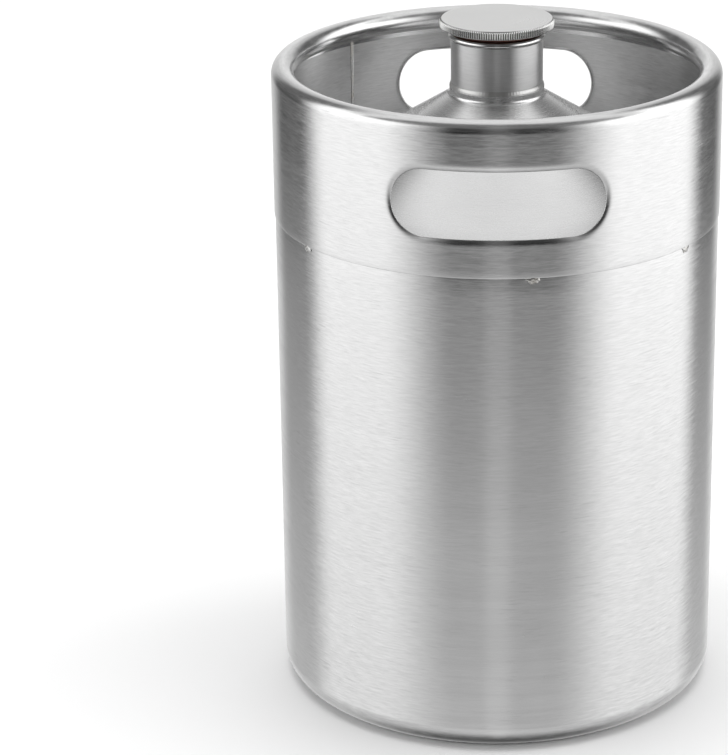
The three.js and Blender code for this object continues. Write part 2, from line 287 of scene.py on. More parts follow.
class Nodes:
    """Short ways to add and join the nodes of one tree."""

    def __init__(self, tree):
        self.tree = tree
        tree.nodes.clear()

    def add(self, kind, inputs=None, **settings):
        node = self.tree.nodes.new(kind)
        for key, value in settings.items():
            setattr(node, key, value)
        for key, value in (inputs or {}).items():
            if isinstance(value, bpy.types.NodeSocket):
                self.feed(value, node, key)
            else:
                node.inputs[key].default_value = value
        return node

    def feed(self, value, node, key):
        self.tree.links.new(value, node.inputs[key])

    def math(self, operation, a, b=0.0):
        return self.add("ShaderNodeMath", {0: a, 1: b}, operation=operation).outputs[0]

    def add_up(self, first, *others):
        total = first
        for other in others:
            total = self.math("ADD", total, other)
        return total

    def product(self, first, *others):
        total = first
        for other in others:
            total = self.math("MULTIPLY", total, other)
        return total

    def remap(self, value, from_low, from_high, to_low, to_high, kind="LINEAR"):
        inputs = {"Value": value, 1: from_low, 2: from_high, 3: to_low, 4: to_high}
        return self.add("ShaderNodeMapRange", inputs, interpolation_type=kind).outputs[0]

    def fade(self, value, start, end, level_before, level_after):
        """A smooth change of level while the value goes from start to end."""
        return self.remap(value, start, end, level_before, level_after, "SMOOTHSTEP")

    def position(self):
        return self.add("ShaderNodeTexCoord").outputs["Object"]

    def split(self, vector):
        return self.add("ShaderNodeSeparateXYZ", {0: vector}).outputs

    def length(self, x, y):
        return self.math("SQRT", self.add_up(self.product(x, x), self.product(y, y)))

    def noise(self, vector, scale, detail=2.0, roughness=0.5):
        inputs = {"Vector": vector, "Scale": scale, "Detail": detail, "Roughness": roughness}
        return self.add("ShaderNodeTexNoise", inputs).outputs[0]

    def mix_color(self, factor, a, b, kind="MIX"):
        inputs = {0: factor, 6: a, 7: b}
        return self.add("ShaderNodeMix", inputs, data_type="RGBA", blend_type=kind).outputs[2]

    def mix_value(self, factor, a, b):
        return self.add("ShaderNodeMix", {0: factor, 2: a, 3: b}).outputs[0]

    def bump(self, shader, height, strength, distance):
        inputs = {"Strength": strength, "Distance": distance, "Height": height}
        self.feed(self.add("ShaderNodeBump", inputs).outputs[0], shader, "Normal")

    def ramp(self, value, stops):
        """A ramp of grey levels from (place, level) stops."""
        node = self.add("ShaderNodeValToRGB", {0: value})
        node.color_ramp.interpolation = "EASE"
        elements = node.color_ramp.elements
        while len(elements) < len(stops):
            elements.new(0.5)
        for element, (position, level) in zip(elements, stops):
            element.position = position
            element.color = (level, level, level, 1)
        return node.outputs[0]


def new_material(name):
    material = bpy.data.materials.new(name)
    material.use_nodes = True
    nodes = Nodes(material.node_tree)
    shader = nodes.add("ShaderNodeBsdfPrincipled")
    nodes.add("ShaderNodeOutputMaterial", {"Surface": shader.outputs[0]})
    return material, nodes, shader


def ring_coordinates(nodes, position, along, across):
    """A position stretched round the Z axis: along is the scale round it, across the scale off it.

    The third coordinate is z less radius, so that the grain also runs round on cones and flat faces.
    """
    x, y, z = nodes.split(position)
    height = nodes.math("SUBTRACT", z, nodes.length(x, y))
    stretched = nodes.add("ShaderNodeCombineXYZ", {
        0: nodes.product(x, along),
        1: nodes.product(y, along),
        2: nodes.product(height, across),
    })
    return stretched.outputs[0]


def groove_dirt(nodes, position, low, high, outer_r, depth):
    """Mask of painted shade: 1 in the bottoms of a knurled band's grooves, 0 on its crests and everywhere
    else.
    """
    x, y, z = nodes.split(position)
    radius = nodes.length(x, y)
    deep = nodes.fade(radius, outer_r - 0.85 * depth, outer_r - 0.5 * depth, 1.0, 0.0)
    in_band = nodes.math("GREATER_THAN", radius, outer_r - 1.2 * depth)
    above = nodes.math("GREATER_THAN", z, low)
    below = nodes.math("LESS_THAN", z, high)
    return nodes.product(deep, in_band, above, below)


def shaded(color, factor):
    """A colour made lighter or darker, with its alpha."""
    return tuple(min(1.0, channel * factor) for channel in color) + (1,)


def steel(name, color, roughness, anisotropy, grain=1.0, dirt=0.0, groove=None):
    """Stainless steel brushed round the Z axis: fine scratches, broader drag marks, smudges and dark nicks.

    grain scales the marks, dirt is the stain in the smudges, and groove is a knurled band like KNURL_BAND,
    whose groove bottoms get painted shade.
    """
    material, nodes, shader = new_material(name)
    position = nodes.position()
    scratch_place = ring_coordinates(nodes, position, *SCRATCH_SCALES)
    scratches = nodes.noise(scratch_place, 1.0, detail=3.0, roughness=0.65)
    drags = nodes.noise(ring_coordinates(nodes, position, *DRAG_SCALES), 1.0)
    smudges = nodes.noise(position, 28.0, detail=3.0, roughness=0.55)
    nick_lines = nodes.noise(ring_coordinates(nodes, position, *NICK_SCALES), 1.0, detail=0.0)
    nick_areas = nodes.noise(position, 60.0, detail=1.0)
    nicks = nodes.product(
        nodes.remap(nick_lines, 0.68, 0.76, 0.0, 1.0),
        nodes.remap(nick_areas, 0.5, 0.6, 0.0, 1.0),
    )
    fine = nodes.remap(scratches, 0.3, 0.7, -1.0, 1.0)
    broad = nodes.remap(drags, 0.35, 0.65, -1.0, 1.0)

    shade = nodes.add_up(nodes.product(fine, 0.3 * grain), nodes.product(broad, 0.05 * grain))
    tone = nodes.add_up(shade, 0.6, nodes.product(nicks, -0.3 * grain))
    clean = nodes.mix_color(tone, shaded(color, 0.82), shaded(color, 1.1))
    stained = nodes.fade(smudges, 0.45, 0.75, 0.0, dirt)
    stain = (color[0] * 0.62, color[1] * 0.58, color[2] * 0.52, 1)
    base = nodes.mix_color(stained, clean, stain)
    if groove:
        # Painted shade: the bottoms of the knurl's grooves are darkened to near black, standing in for the
        # shade inside them.
        base = nodes.mix_color(groove_dirt(nodes, position, *groove), base, (0.03, 0.028, 0.025, 1))
    nodes.feed(base, shader, "Base Color")

    rough = nodes.add_up(
        nodes.product(fine, 0.04 * grain),
        nodes.product(broad, 0.02 * grain),
        nodes.remap(smudges, 0.3, 0.7, roughness - 0.02, roughness + 0.03),
    )
    nodes.feed(rough, shader, "Roughness")
    nodes.bump(shader, scratches, 0.25 * grain, 0.02 * MM)

    shader.inputs["Metallic"].default_value = 1.0
    shader.inputs["Anisotropic"].default_value = anisotropy
    shader.inputs["Anisotropic Rotation"].default_value = 0.25
    tangent = nodes.add("ShaderNodeTangent", direction_type="RADIAL", axis="Z")
    nodes.feed(tangent.outputs[0], shader, "Tangent")
    return material


def weld_metal(name, color):
    """Bare weld metal: a fine crust, bright crests and faint straw tint."""
    material, nodes, shader = new_material(name)
    position = nodes.position()
    crust = nodes.noise(position, 2600.0, detail=4.0, roughness=0.6)
    tint = nodes.remap(nodes.noise(position, 350.0), 0.4, 0.65, 0.0, 0.5)
    straw = (color[0], color[1] * 0.93, color[2] * 0.82, 1)
    base = nodes.mix_color(tint, shaded(color, 1.0), straw)
    pits = nodes.remap(crust, 0.35, 0.6, 0.75, 1.0)
    nodes.feed(nodes.mix_color(1.0, base, pits, "MULTIPLY"), shader, "Base Color")
    nodes.feed(nodes.remap(crust, 0.3, 0.7, 0.2, 0.42), shader, "Roughness")
    nodes.bump(shader, crust, 0.35, 0.05 * MM)
    shader.inputs["Metallic"].default_value = 1.0
    return material


def rubber(name):
    """Dark brown seal rubber with a moulded skin and faint rub marks round it."""
    material, nodes, shader = new_material(name)
    position = nodes.position()
    skin = nodes.noise(position, 3500.0, detail=3.0, roughness=0.6)
    rubs = nodes.noise(ring_coordinates(nodes, position, *RUB_SCALES), 1.0)
    rubbed = nodes.remap(rubs, 0.35, 0.7, 0.0, 1.0)
    base = nodes.mix_color(rubbed, (0.07, 0.02, 0.01, 1), (0.13, 0.045, 0.025, 1))
    nodes.feed(base, shader, "Base Color")
    nodes.feed(nodes.remap(skin, 0.3, 0.7, 0.45, 0.65), shader, "Roughness")
    nodes.bump(shader, skin, 0.3, 0.04 * MM)
    return material


BRUSHED = steel("brushed_steel", (0.615, 0.615, 0.615), 0.2, 0.8)
SHOULDER_STEEL = steel("spun_shoulder_steel", (0.68, 0.68, 0.68), 0.26, 0.5, grain=0.55)
INNER_STEEL = steel("pickled_inner_steel", (0.5, 0.5, 0.5), 0.42, 0.4, grain=0.7, dirt=0.4)
COLLAR_INSIDE = steel("mill_finish_steel", (0.56, 0.56, 0.56), 0.38, 0.6, grain=1.3)
TURNED = steel("turned_steel", (0.72, 0.72, 0.72), 0.38, 1.0, grain=0.6)
CAP_STEEL = steel("satin_cap_steel", (0.57, 0.57, 0.565), 0.3, 0.0, grain=0.3)
WELD = weld_metal("weld_metal", (0.6, 0.6, 0.595))
DRESSED_WELD = steel("dressed_weld", (0.6, 0.6, 0.59), 0.34, 0.8, grain=0.6)
POLISHED = steel("polished_steel_edge", (0.62, 0.62, 0.615), 0.14, 0.0, grain=0.2)
# Painted light: the knurled band is given a far lighter steel colour than the rest of the cap to brighten its
# teeth, and its groove bottoms get painted shade.
KNURLED = steel("knurled_steel_painted_light_and_shade", (0.84, 0.84, 0.83), 0.28, 0.0, grain=0.3, groove=KNURL_BAND)
SEAL = rubber("seal_rubber")


# ---- Vessel ----

def cone_z(r):
    """Height of the cone's outside at a radius."""
    return CONE_APEX - math.tan(CONE_SLOPE) * r


def draw_in(z, seam_side, reach, depth):
    """How far the weld draws the sheet in, near the seam: depth at it, nothing at reach from it."""
    share = max(0.0, 1 - abs(z - seam_side) / reach)
    return depth * share * share


def build_wall():
    """The rolled wall with its turned-in foot, its top drawn in under the collar."""
    top = SEAM_Z - 0.03 * MM  # the weld draws the wall up against the collar
    outline = supported(rounded([
        (FOOT_INNER_R, 0, EDGE),
        (WALL_R, 0, FOOT_BEND),
        (WALL_R, top - WALL_DRAW_REACH, 0),
        (WALL_R, top, EDGE / 4),
        (WALL_R - SHEET, top, EDGE / 4),
        (WALL_R - SHEET, SHEET, FOOT_BEND - SHEET),
        (FOOT_INNER_R, SHEET, EDGE),
    ]))

    def drawn(angle, r, z):
        return r - draw_in(z, top, WALL_DRAW_REACH, WALL_DRAW), z

    place(lathe("wall_skin", outline, ROUND_STEPS, drawn), "keg", BRUSHED, "brushed_steel", "body_wall")


def build_dish():
    """The pressed bottom: a wave that rises to the middle, with a flat rim and a round edge."""
    crown = DISH_TOP - DISH_BOTTOM - SHEET
    steps = 32
    underside = []
    for i in range(steps + 1):
        rise = crown * (1 + math.cos(math.pi * i / steps)) / 2
        underside.append(Vector((DISH_FLAT_R * i / steps, DISH_BOTTOM + rise)))
    edge = arc(DISH_R - SHEET / 2, DISH_BOTTOM + SHEET / 2, SHEET / 2, -90, 90, 6)
    lift = Vector((0, SHEET))
    outline = underside + edge + [point + lift for point in reversed(underside)]
    place(lathe("dish_pressing", outline, ROUND_STEPS), "keg", INNER_STEEL, "brushed_steel", "bottom_dish")


def build_shoulder():
    """The shoulder: a skirt inside the wall, a cone and a short spout round the neck."""
    drop = SHEET / math.cos(CONE_SLOPE)  # the sheet's thickness measured along Z on the cone
    inner_skirt = SKIRT_R - SHEET
    inner_spout = SPOUT_R - SHEET
    outline = rounded([
        (SKIRT_R, SKIRT_BOTTOM, EDGE),
        (SKIRT_R, cone_z(SKIRT_R), KNUCKLE),
        (SPOUT_R, cone_z(SPOUT_R), SPOUT_FILLET),
        (SPOUT_R, SPOUT_TOP, 2 * EDGE),
        (inner_spout, SPOUT_TOP, EDGE),
        (inner_spout, cone_z(inner_spout) - drop, SPOUT_FILLET + SHEET),
        (inner_skirt, cone_z(inner_skirt) - drop, KNUCKLE - SHEET),
        (inner_skirt, SKIRT_BOTTOM, EDGE),
    ])
    piece = lathe("shoulder_pressing", supported(outline), ROUND_STEPS)
    place(piece, "keg", SHOULDER_STEEL, "brushed_steel", "top_shoulder")


# ---- Welds ----

def build_ring_weld(name, node, ripples, crest):
    """A bead in a corner under a plate, inside the vessel, with a ripple for each pool of the weld."""
    low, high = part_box(node)
    width = high.z - low.z
    corner_r = high.x
    corner_z = high.z
    outline = [Vector((corner_r, corner_z))] + arc(corner_r, corner_z, width, 180, 270, 6)

    def ripple(angle, r, z):
        away = math.hypot(r - corner_r, z - corner_z) / width
        swell = 1 + crest * (abs(math.sin(ripples * angle / 2)) - 0.5) * away
        return corner_r + (r - corner_r) * swell, corner_z + (z - corner_z) * swell

    place(lathe(name, outline, 4 * ROUND_STEPS, ripple), "keg", WELD, "weld_bead", node)


def build_neck_bead():
    """The bead between neck and spout, dressed down to a smooth step with faint ripples left in it."""
    low = SPOUT_TOP - 0.1 * MM
    high = SPOUT_TOP + 1.7 * MM
    behind = NECK_R - 0.1 * MM
    ripple_height = 0.02 * MM
    ripples = 90
    steps = 12
    outline = [Vector((behind, low))]
    for i in range(steps + 1):
        share = 0.5 + 0.5 * math.cos(math.pi * i / steps)
        r = NECK_R + 0.01 * MM + (SPOUT_R - NECK_R) * share
        outline.append(Vector((r, low + (high - low) * i / steps)))
    outline.append(Vector((behind, high)))

    def ripple(angle, r, z):
        if r < NECK_R:
            return r, z
        middle = math.sin(math.pi * (z - low) / (high - low))
        return r + ripple_height * math.sin(ripples * angle) * middle, z

    place(lathe("neck_bead", outline, 2 * ROUND_STEPS, ripple), "keg", DRESSED_WELD, "weld_bead", "neck_weld")


def build_upright_weld(name, node, azimuth, wall_inner):
    """A half-round bead down the inside of a rolled sheet, rippled along its length."""
    low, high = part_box(node)
    base = wall_inner + 0.05 * MM
    flatness = 0.45
    ripple_length = 0.9 * MM
    step_length = 0.25 * MM
    taper_steps = 6
    steps = int((high.z - low.z) / step_length)
    sides = 12
    vertices = []
    for i in range(steps + 1):
        z = low.z + (high.z - low.z) * i / steps
        taper = math.sqrt(min(1.0, 0.15 + min(i, steps - i) / taper_steps))
        swell = UPRIGHT_WELD_R * taper * (0.92 + 0.08 * abs(math.sin(z / ripple_length * math.pi)))
        for k in range(sides):
            angle = math.pi * k / (sides - 1)
            turn = azimuth + swell * math.cos(angle) / base
            vertices.append(around(turn, base - flatness * swell * math.sin(angle), z))
    faces = tube_faces(steps + 1, sides)
    faces.append(tuple(range(sides)))
    faces.append(tuple(steps * sides + k for k in range(sides)))
    place(solid(name, vertices, faces), "keg", WELD, "weld_bead", node)


def build_tack(number):
    """A tack weld: a drop of metal that runs out of the collar's lip and hangs over the wall."""
    node = f"tack_weld_{number}"
    low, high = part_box(node)
    centre = (low + high) / 2
    azimuth = math.atan2(centre.x, -centre.y)
    half_width = 2.5 * MM
    rise = 0.9 * MM  # above the seam
    fall = 2.1 * MM  # below it
    thickness = 0.5 * MM
    sag = 0.2 * MM  # extra thickness at the drop's lower end
    root = WALL_R - 0.1 * MM
    lump_size = 0.35
    lump_scale = 3.1
    ridge_size = 0.09
    columns = 48
    rows = 24
    vertices = []
    for i in range(rows + 1):
        latitude = math.pi * i / rows - math.pi / 2
        for k in range(columns):
            longitude = 2 * math.pi * k / columns
            across = math.cos(latitude) * math.cos(longitude)
            up = math.cos(latitude) * math.sin(longitude)
            out = math.sin(latitude)
            lumps = noise.noise(Vector((across * lump_scale, up * lump_scale, out + 7.3 * number)))
            size = 1 + lump_size * lumps
            ridge = 1 + ridge_size * math.sin(9 * up + number) * math.cos(7 * across)
            turn = azimuth + half_width * across * size / COLLAR_R
            z = SEAM_Z + (rise if up > 0 else fall) * up * size
            r = root + (thickness + sag * max(0.0, -up)) * out * ridge
            vertices.append(around(turn, r, z))
    piece = solid(f"tack_bead_{number}", vertices, tube_faces(rows + 1, columns))
    place(piece, "keg", WELD, "weld_bead", node)


def build_welds():
    build_ring_weld("foot_bead", "bottom_weld", ripples=260, crest=0.25)
    build_ring_weld("shoulder_bead", "shoulder_weld", ripples=300, crest=0.2)
    build_neck_bead()
    build_upright_weld("wall_seam_bead", "wall_seam_weld", WALL_WELD_AZIMUTH, WALL_R - SHEET)
    build_upright_weld("collar_seam_bead", "collar_seam_weld", COLLAR_WELD_AZIMUTH, COLLAR_R - SHEET)
    for number in range(1, TACK_COUNT + 1):
        build_tack(number)


# ---- Handle collar ----

PATCH_COLUMNS = 24  # to each side of a handhold's middle
PATCH_ROWS = 12
PATCH_BOTTOM = 193 * MM
PATCH_TOP = 231 * MM
CURL_STEPS = 40


def patch_edge():
    """Points (azimuth, z) round the rectangle of collar that holds a handhold, as one loop."""
    column = 2 * math.pi / ROUND_STEPS
    row = (PATCH_TOP - PATCH_BOTTOM) / PATCH_ROWS
    side = PATCH_COLUMNS * column
    loop = [(-side + i * column, PATCH_BOTTOM) for i in range(2 * PATCH_COLUMNS)]
    loop += [(side, PATCH_BOTTOM + j * row) for j in range(PATCH_ROWS)]
    loop += [(side - i * column, PATCH_TOP) for i in range(2 * PATCH_COLUMNS)]
    loop += [(-side, PATCH_TOP - j * row) for j in range(PATCH_ROWS)]
    return loop


def bend_place(share):
    """A point of the bend's outside, its outward normal and the direction on towards the cut."""
    point = Vector((HOLD_WIDTH * (1 - share), HOLD_DEPTH * share ** HOLD_CURVE))
    slope = HOLD_DEPTH * HOLD_CURVE * share ** (HOLD_CURVE - 1) / HOLD_WIDTH
    return point, Vector((-slope, -1)).normalized(), Vector((-1, slope)).normalized()


def bend_and_edge(steps):
    """Section of the sheet pressed in round a handhold, as (distance from the cut, depth).

    The bend tightens towards the cut, whose two corners are rounded.
    """
    lip = 3 * EDGE
    last_share = 1 - 1.2 * lip / HOLD_WIDTH  # the bend ends short of the rounded corners
    outer = []
    inner = []
    for i in range(steps + 1):
        point, out, _ = bend_place(i / steps * last_share)
        outer.append(point)
        inner.append(point - out * SHEET)
    cut, out, on = bend_place(1.0)
    outer_centre = cut - (out + on) * lip
    inner_centre = cut - out * (SHEET - lip) - on * lip
    quarter = [math.radians(angle) for angle in (0, 30, 60, 90)]
    outer += [outer_centre + (out * math.cos(angle) + on * math.sin(angle)) * lip for angle in quarter]
    outer += [inner_centre + (on * math.cos(angle) - out * math.sin(angle)) * lip for angle in quarter]
    return outer + inner[::-1]


def handhold_data(middle):
    """The collar's sheet round one handhold: both skins, the pressed-in bend and the cut edge."""
    edge = patch_edge()
    straight = HOLD_HALF_LENGTH - HOLD_HALF_HEIGHT
    bend_steps = 12
    skin_steps = 8
    crowding = 1.6  # power that draws the skin's rings closer together beside the bend

    def offset_ring(offset, depth, share=0.0):
        """A ring at an offset from the cut, moved a share of the way out to the rectangle."""
        ring = []
        for azimuth, z in edge:
            corner = Vector((azimuth * COLLAR_R, z))
            core = Vector((max(-straight, min(straight, corner.x)), HOLD_Z))
            start = core + (corner - core).normalized() * (HOLD_HALF_HEIGHT + offset)
            point = start.lerp(corner, share) if share else start
            ring.append(around(middle + point.x / COLLAR_R, COLLAR_R - depth, point.y))
        return ring

    shares = [(i / skin_steps) ** crowding for i in range(1, skin_steps + 1)]
    rings = [offset_ring(HOLD_WIDTH, 0, share) for share in reversed(shares)]
    rings += [offset_ring(point.x, point.y) for point in bend_and_edge(bend_steps)]
    rings += [offset_ring(HOLD_WIDTH, SHEET, share) for share in shares]
    vertices = [point for ring in rings for point in ring]
    return vertices, tube_faces(len(rings), len(edge))


def band_data():
    """The rest of the collar: a rolled band with its curled rim, less the two rectangles."""
    lip = 1.5 * EDGE
    inner = COLLAR_R - SHEET
    curl_r = COLLAR_R - CURL_R
    curl_z = RIM_Z - CURL_R
    rows = [PATCH_BOTTOM + (PATCH_TOP - PATCH_BOTTOM) * j / PATCH_ROWS for j in range(PATCH_ROWS + 1)]
    lip_z = SEAM_Z + lip
    draw_steps = 8
    outside = arc(COLLAR_R - lip - LIP_DRAW, lip_z, lip, -90, 0, 5)
    for i in range(1, draw_steps + 1):
        z = lip_z + LIP_DRAW_REACH * i / draw_steps
        outside.append(Vector((COLLAR_R - draw_in(z, lip_z, LIP_DRAW_REACH, LIP_DRAW), z)))
    first_outer = len(outside)
    outside += [Vector((COLLAR_R, z)) for z in rows]
    outside.append(Vector((COLLAR_R, curl_z - SUPPORT)))
    outside += arc(curl_r, curl_z, CURL_R, 0, CURL_END, CURL_STEPS)
    inside = arc(curl_r, curl_z, CURL_R - SHEET, CURL_END, 0, CURL_STEPS)
    inside.append(Vector((inner, curl_z - SUPPORT)))
    first_inner = len(outside) + len(inside)
    inside += [Vector((inner, z)) for z in reversed(rows)]
    inside.append(Vector((inner, SEAM_Z + 3 * lip)))
    inside += arc(inner + EDGE, SEAM_Z + EDGE, EDGE, 180, 270, 3)
    outline = outside + inside
    skipped_rows = set(range(first_outer, first_outer + PATCH_ROWS))
    skipped_rows |= set(range(first_inner, first_inner + PATCH_ROWS))

    vertices, faces = lathe_data(outline, ROUND_STEPS)
    kept = []
    half_turn = ROUND_STEPS // 2
    for index, face in enumerate(faces):
        column, row = divmod(index, len(outline))
        from_middle = (column + half_turn // 2) % half_turn - half_turn // 2
        in_patch = -PATCH_COLUMNS <= from_middle < PATCH_COLUMNS
        if not (in_patch and row in skipped_rows):
            kept.append(face)
    return vertices, kept


def build_collar():
    """The collar with both handholds: brushed outside and on the curl, left as it was rolled inside."""
    piece = joined("collar_sheet", band_data(), handhold_data(0.0), handhold_data(math.pi))
    place(piece, "keg", BRUSHED, "brushed_steel", "handle_collar")
    piece.data.materials.append(COLLAR_INSIDE)
    straight_in = -0.96  # the bends round the handholds face less squarely to the axis than this
    for face in piece.data.polygons:
        outward = face.center.xy.dot(face.normal.xy) / face.center.xy.length
        if outward < straight_in and face.center.z < RIM_Z - 2 * CURL_R:
            face.material_index = 1


# ---- Neck, cap and seal ----

def thread_turn(angle):
    """Turns round the thread, which starts on the +X side."""
    return (angle - math.pi / 2) / (2 * math.pi)


def thread_height(angle, z):
    """Height of the cap's thread over its root, 0 to THREAD_DEPTH."""
    along = (z - THREAD_START) / PITCH - thread_turn(angle)
    off_crest = abs(along - round(along)) * PITCH
    return max(0.0, min(THREAD_DEPTH, (CREST_HALF_WIDTH + THREAD_DEPTH * FLANK - off_crest) / FLANK))


def neck_outline():
    """A spigot in the spout, a plain tube, a rolled lip, and a bore with the rows that its thread needs."""
    spigot = SPOUT_R - SHEET - GAP
    seat = SPOUT_TOP + GAP
    bulge_r = LIP_R - LIP_BULGE
    bulge_z = LIP_TOP - LIP_BULGE
    blend_angle = -math.degrees(math.acos((NECK_R - bulge_r) / LIP_BULGE))
    outline = [
        Vector((BORE_R, NECK_BOTTOM)),
        Vector((spigot, NECK_BOTTOM)),
        Vector((spigot, seat)),
        Vector((NECK_R, seat)),
        Vector((NECK_R, seat + SUPPORT)),
        Vector((NECK_R, bulge_z - LIP_BULGE - SUPPORT)),
    ]
    outline += arc(bulge_r, bulge_z, LIP_BULGE, blend_angle, 90, 16)
    outline += [Vector((MOUTH_R + EDGE, LIP_TOP)), Vector((MOUTH_R, LIP_TOP - EDGE / 2))]
    thread_rows = 130
    thread_top = LIP_TOP - MOUTH_CHAMFER
    thread_bottom = THREAD_START + PITCH * (GROOVE_FROM - 1)
    for i in range(thread_rows + 1):
        outline.append(Vector((BORE_R, thread_top + (thread_bottom - thread_top) * i / thread_rows)))
    return outline


def build_neck():
    """The turned neck: its female thread is cut into the bore, and its lip is polished."""

    def cut_thread(angle, r, z):
        if r > BORE_R + MOUTH_CHAMFER / 2 or z <= NECK_BOTTOM + EDGE:
            return r, z
        start = THREAD_START + PITCH * (GROOVE_FROM + thread_turn(angle) % 1.0)
        run_in = max(0.0, min(1.0, (z - start + PITCH / 2) / (0.4 * PITCH)))
        height = thread_height(angle, z)
        if height == 0:
            return r, z
        return r + min(THREAD_DEPTH, height + GAP / FLANK) * run_in, z

    piece = lathe("neck_turning", neck_outline(), NECK_STEPS, cut_thread)
    place(piece, "keg", TURNED, "polished_steel", "neck_tube")
    piece.data.materials.append(POLISHED)
    for face in piece.data.polygons:
        if face.center.z > LIP_TOP - 2 * LIP_BULGE and face.center.xy.length > MOUTH_R:
            face.material_index = 1


def cap_head():
    """Vertices and faces of the cap's head: a disc with both edges chamfered and a knurled band."""
    sides = 8  # columns of points in each tooth
    facet = EDGE / 2
    outline = rounded([
        (0, HEAD_BOTTOM, 0),
        (HEAD_R - HEAD_BOTTOM_CHAMFER, HEAD_BOTTOM, facet),
        (HEAD_R, HEAD_BOTTOM + HEAD_BOTTOM_CHAMFER, facet),
        (HEAD_R, HEAD_TOP - HEAD_TOP_CHAMFER, facet),
        (HEAD_R - HEAD_TOP_CHAMFER, HEAD_TOP, facet),
        (0, HEAD_TOP, 0),
    ])

    def knurl(angle, r, z):
        groove = 0.5 - 0.5 * math.cos(angle * KNURL_TEETH)
        return min(r, HEAD_R - KNURL_DEPTH * groove), z

    return lathe_data(supported(outline), sides * KNURL_TEETH, knurl)


def cap_shank():
    """Vertices and faces of the hollow plug under the head, with its male thread."""
    hollow_top = HEAD_BOTTOM - HEAD_FLOOR
    shank_top = (HEAD_BOTTOM + HEAD_TOP) / 2
    thread_rows = 110
    thread_bottom = PLUG_BOTTOM + SHANK_CHAMFER
    thread_top = THREAD_START + PITCH * (THREAD_TURNS + 0.5)
    fade_turns = 0.12  # over which the thread's ends run out
    outline = [
        Vector((0, hollow_top)),
        Vector((SHANK_BORE_R, hollow_top)),
        Vector((SHANK_BORE_R, PLUG_BOTTOM)),
        Vector((SHANK_R - SHANK_CHAMFER, PLUG_BOTTOM)),
    ]
    for i in range(thread_rows + 1):
        outline.append(Vector((SHANK_R, thread_bottom + (thread_top - thread_bottom) * i / thread_rows)))
    outline += [Vector((SHANK_R, shank_top)), Vector((0, shank_top))]

    def ridge(angle, r, z):
        if abs(r - SHANK_R) > EDGE or z > HEAD_BOTTOM:
            return r, z
        turn = thread_turn(angle) % 1.0
        wound = round((z - THREAD_START) / PITCH - turn) + turn
        fade = min(1.0, max(0.0, min(wound, THREAD_TURNS - wound) / fade_turns))
        return r + thread_height(angle, z) * fade, z

    return lathe_data(outline, NECK_STEPS, ridge)


def build_cap():
    """The screw cap: satin, with a polished chamfer and a knurled rim whose steel colour is painted lighter.
    """
    piece = joined("cap_turning", cap_head(), cap_shank())
    place(piece, "cap", CAP_STEEL, "polished_steel", "screw_cap")
    piece.data.materials.append(POLISHED)
    piece.data.materials.append(KNURLED)
    flat = 0.9  # faces whose normal is this close to Z belong to the flat top or underside
    for face in piece.data.polygons:
        if face.center.xy.length > HEAD_R - HEAD_TOP_CHAMFER and abs(face.normal.z) < flat:
            face.material_index = 1 if face.center.z > HEAD_TOP - HEAD_TOP_CHAMFER else 2


def build_seal():
    """The flat seal ring: its round outer edge is squeezed a little unevenly."""
    half = (SEAL_TOP - SEAL_BOTTOM) / 2
    outline = [Vector((SEAL_INNER_R, SEAL_BOTTOM))]
    outline += arc(SEAL_R - half, SEAL_BOTTOM + half, half, -90, 90, 12)
    outline += [Vector((SEAL_INNER_R, SEAL_TOP))]

    def squeeze(angle, r, z):
        wave = 0.03 * MM * math.sin(7 * angle) * math.sin(3 * angle + 1)
        return (r + wave if r > SEAL_R - half else r), z

    place(lathe("seal_ring", outline, NECK_STEPS, squeeze), "seal", SEAL, "seal_rubber", "cap_seal")


# ---- Studio ----

PANEL_LEFT = 1.6
PANEL_RIGHT = 1.75
SLOT = 0.07  # the dark slot behind each panel, as a share of the panel's level
BACKDROP = 0.6  # the same for the backdrop
HAZE = 0.06  # lifts the dark front above the horizon
STRIPE = 0.12  # the narrow light straight in front
CEILING_FRONT = 0.22
CEILING_BACK = 1.15
GROUND = 1.1
STUDIO_TURN = math.radians(2.5)
KEG_TURN = math.radians(0.45)  # the front handhold is turned this far to the camera's right


def build_floor():
    """A large pale floor, and the spot of it under the keg, which is the only part seen in the steel."""
    material, nodes, shader = new_material("pale_floor")
    position = nodes.position()
    mottle = nodes.noise(position, 3.0)
    pale = nodes.mix_color(mottle, (0.90, 0.90, 0.90, 1), (0.93, 0.93, 0.93, 1))
    nodes.feed(pale, shader, "Base Color")
    shader.inputs["Roughness"].default_value = 0.9
    shader.inputs["Specular IOR Level"].default_value = 0.1
    bpy.ops.mesh.primitive_plane_add(size=12.0, location=(0, 0, -0.03 * MM))
    floor = bpy.context.object
    floor.visible_glossy = False
    bpy.ops.mesh.primitive_circle_add(
        vertices=128, radius=WALL_R - 5 * MM, fill_type="NGON", location=(0, 0, -0.01 * MM)
    )
    spot = bpy.context.object
    for name, piece in (("studio_floor", floor), ("floor_under_keg", spot)):
        piece.name = name
        piece.data.materials.append(material)


def walls(nodes, x, y, z, share):
    """Level of the upright walls. share is 0 straight in front of the keg and 1 straight behind it."""
    front = [(0.0, 0.0), (0.13, 0.0)]
    left = [(0.36, 1.0), (0.55, 1.0), (0.67, SLOT), (0.8, SLOT)]
    right = [(0.36, 1.0), (0.60, 1.0), (0.70, SLOT), (0.79, SLOT)]
    back = [(0.9, 0.7 * BACKDROP), (1.0, BACKDROP)]
    left_wall = nodes.product(nodes.ramp(share, front + left + back), PANEL_LEFT)
    right_wall = nodes.product(nodes.ramp(share, front + right + back), PANEL_RIGHT)
    level = nodes.mix_value(nodes.fade(x, -0.3, 0.3, 0.0, 1.0), left_wall, right_wall)
    # The panels are brighter above the horizon.
    upper = nodes.product(nodes.fade(z, 0.0, 0.35, 0.0, 0.2), nodes.fade(y, 0.2, 0.5, 1.0, 0.0))
    level = nodes.product(level, nodes.add_up(upper, 1.0))
    return nodes.add_up(level, nodes.fade(z, -0.2, 0.15, 0.0, HAZE))


